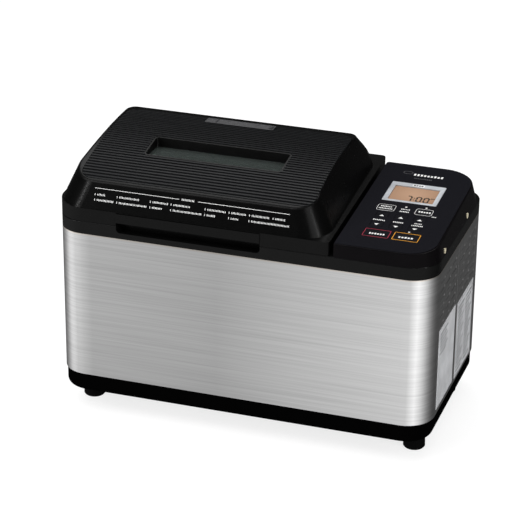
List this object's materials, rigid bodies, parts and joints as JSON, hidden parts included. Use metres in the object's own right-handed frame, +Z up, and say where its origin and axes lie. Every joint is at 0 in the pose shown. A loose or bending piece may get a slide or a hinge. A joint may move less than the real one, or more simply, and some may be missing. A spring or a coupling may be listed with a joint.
{
  "type": "bread machine",
  "caption": "Horizontal bread machine: brushed steel body, hinged black lid with ribbed top and viewing window, key panel at the right, lift-out pan with kneading blades.",
  "frame": {"origin": "centre of the footprint box, on the surface that the feet stand on", "axes": "+X to the user's right along the width, +Y towards the hinge at the back, +Z up"},
  "size_m": [0.4573, 0.27, 0.3257],
  "materials": {
    "black_plastic": "semi-gloss moulded black",
    "steel_skin": "horizontal brushed",
    "foot_rubber": "matt",
    "zinc_screw": "zinc plated",
    "rib_plastic": "fine moulded texture",
    "label_film": "silver film",
    "caution_film": "white film",
    "panel_film": "satin printed film",
    "key_cap": "satin",
    "cream_cap": "satin",
    "bezel_silver": "metallic satin",
    "lcd": "amber display",
    "board": "solder mask",
    "switch": "matt",
    "indicator": "clear red",
    "chamber_steel": "coated sheet",
    "heater_tube": "oxidised sheath",
    "bush_metal": "sintered",
    "pulley_plastic": "matt",
    "belt_rubber": "matt",
    "shaft_steel": "ground",
    "coupling_metal": "cast",
    "motor_metal": "plated",
    "rotor_iron": "machined",
    "component_plastic": "matt",
    "nonstick": "non-stick coating",
    "bail_wire": "polished wire",
    "clear_glass": "clear"
  },
  "bodies": {
    "housing": {"base_tray": "black_plastic", "body_screws": "zinc_screw", "chassis_plate": "motor_metal", "control_board": "board", "control_housing": "black_plastic", "control_overlay": "panel_film", "cord_gland": "foot_rubber", "front_wrap": "steel_skin", "hinge_pins": "shaft_steel", "indicator_lights": "indicator", "key_switches": "switch", "lcd_bezel": "bezel_silver", "lcd_module": "lcd", "link_belt": "belt_rubber", "main_belt": "belt_rubber", "main_heater": "heater_tube", "motor_capacitor": "component_plastic", "motor_housing": "motor_metal", "oven_chamber": "chamber_steel", "power_board": "board", "rear_wrap": "steel_skin", "rubber_feet": "foot_rubber", "screw_caps": "cream_cap", "shaft_bearings": "bush_metal", "side_labels": "label_film", "temperature_sensor": "shaft_steel", "transformer": "motor_metal", "upper_collar": "black_plastic"},
    "left_drive": {"left_pulley": "pulley_plastic", "left_drive_shaft": "shaft_steel", "left_drive_coupling": "coupling_metal"},
    "right_drive": {"right_pulley": "pulley_plastic", "right_drive_shaft": "shaft_steel", "right_drive_coupling": "coupling_metal"},
    "rotor": {"motor_rotor": "rotor_iron", "motor_pulley": "coupling_metal"},
    "lid": {"lid_shell": "black_plastic", "lid_rib_panel": "rib_plastic", "window_frame": "black_plastic", "window_glass": "clear_glass", "lid_liner": "chamber_steel", "lid_heater": "heater_tube", "lid_label": "caution_film"},
    "pan": {"baking_pan": "nonstick", "pan_base_ring": "coupling_metal"},
    "bail": {"pan_handle": "bail_wire"},
    "left_kneader": {"left_pan_shaft": "shaft_steel", "left_blade": "nonstick"},
    "right_kneader": {"right_pan_shaft": "shaft_steel", "right_blade": "nonstick"},
    "cancel_key": {"cancel_key": "key_cap"},
    "course_down_key": {"course_down_key": "key_cap"},
    "course_up_key": {"course_up_key": "key_cap"},
    "crust_key": {"crust_key": "key_cap"},
    "cycle_down_key": {"cycle_down_key": "key_cap"},
    "cycle_up_key": {"cycle_up_key": "key_cap"},
    "start_key": {"start_key": "key_cap"},
    "time_down_key": {"time_down_key": "key_cap"},
    "time_up_key": {"time_up_key": "key_cap"},
    "timer_key": {"timer_key": "key_cap"}
  },
  "joints": [
    {"name": "motor_spin", "type": "hinge", "parent": "housing", "child": "rotor", "pos_m": [0.15, -0.012, 0.1], "axis": [0, 0, 1], "continuous": true},
    {"name": "left_drive_spin", "type": "hinge", "parent": "housing", "child": "left_drive", "pos_m": [-0.117, -0.012, 0.06], "axis": [0, 0, 1], "continuous": true},
    {"name": "right_drive_spin", "type": "hinge", "parent": "housing", "child": "right_drive", "pos_m": [-0.003, -0.012, 0.06], "axis": [0, 0, 1], "continuous": true},
    {"name": "lid_hinge", "type": "hinge", "parent": "housing", "child": "lid", "pos_m": [-0.06, 0.121, 0.259], "axis": [-1, 0, 0], "range_deg": [0, 85]},
    {"name": "pan_lift", "type": "slide", "parent": "housing", "child": "pan", "axis": [0, 0, 1], "range_m": [0, 0.012]},
    {"name": "bail_swing", "type": "hinge", "parent": "pan", "child": "bail", "pos_m": [-0.06, -0.012, 0.222], "axis": [-1, 0, 0], "range_deg": [0, 180]},
    {"name": "left_blade_spin", "type": "hinge", "parent": "pan", "child": "left_kneader", "pos_m": [-0.117, -0.012, 0.11], "axis": [0, 0, 1], "continuous": true},
    {"name": "right_blade_spin", "type": "hinge", "parent": "pan", "child": "right_kneader", "pos_m": [-0.003, -0.012, 0.11], "axis": [0, 0, 1], "continuous": true},
    {"name": "cancel_press", "type": "slide", "parent": "housing", "child": "cancel_key", "axis": [0, 0.0645, -0.9979], "range_m": [0, 0.0006], "stiffness_N_per_m": 300, "springref_m": -0.002},
    {"name": "course_down_press", "type": "slide", "parent": "housing", "child": "course_down_key", "axis": [0, 0.0645, -0.9979], "range_m": [0, 0.0006], "stiffness_N_per_m": 300, "springref_m": -0.002},
    {"name": "course_up_press", "type": "slide", "parent": "housing", "child": "course_up_key", "axis": [0, 0.0645, -0.9979], "range_m": [0, 0.0006], "stiffness_N_per_m": 300, "springref_m": -0.002},
    {"name": "crust_press", "type": "slide", "parent": "housing", "child": "crust_key", "axis": [0, 0.0645, -0.9979], "range_m": [0, 0.0006], "stiffness_N_per_m": 300, "springref_m": -0.002},
    {"name": "cycle_down_press", "type": "slide", "parent": "housing", "child": "cycle_down_key", "axis": [0, 0.0645, -0.9979], "range_m": [0, 0.0006], "stiffness_N_per_m": 300, "springref_m": -0.002},
    {"name": "cycle_up_press", "type": "slide", "parent": "housing", "child": "cycle_up_key", "axis": [0, 0.0645, -0.9979], "range_m": [0, 0.0006], "stiffness_N_per_m": 300, "springref_m": -0.002},
    {"name": "start_press", "type": "slide", "parent": "housing", "child": "start_key", "axis": [0, 0.0645, -0.9979], "range_m": [0, 0.0006], "stiffness_N_per_m": 300, "springref_m": -0.002},
    {"name": "time_down_press", "type": "slide", "parent": "housing", "child": "time_down_key", "axis": [0, 0.0645, -0.9979], "range_m": [0, 0.0006], "stiffness_N_per_m": 300, "springref_m": -0.002},
    {"name": "time_up_press", "type": "slide", "parent": "housing", "child": "time_up_key", "axis": [0, 0.0645, -0.9979], "range_m": [0, 0.0006], "stiffness_N_per_m": 300, "springref_m": -0.002},
    {"name": "timer_press", "type": "slide", "parent": "housing", "child": "timer_key", "axis": [0, 0.0645, -0.9979], "range_m": [0, 0.0006], "stiffness_N_per_m": 300, "springref_m": -0.002}
  ],
  "couplings": [
    {"joint": "left_drive_spin", "follows": "motor_spin", "ratio": 0.2},
    {"joint": "right_drive_spin", "follows": "motor_spin", "ratio": 0.2},
    {"joint": "left_blade_spin", "follows": "motor_spin", "ratio": 0.2},
    {"joint": "right_blade_spin", "follows": "motor_spin", "ratio": 0.2}
  ]
}
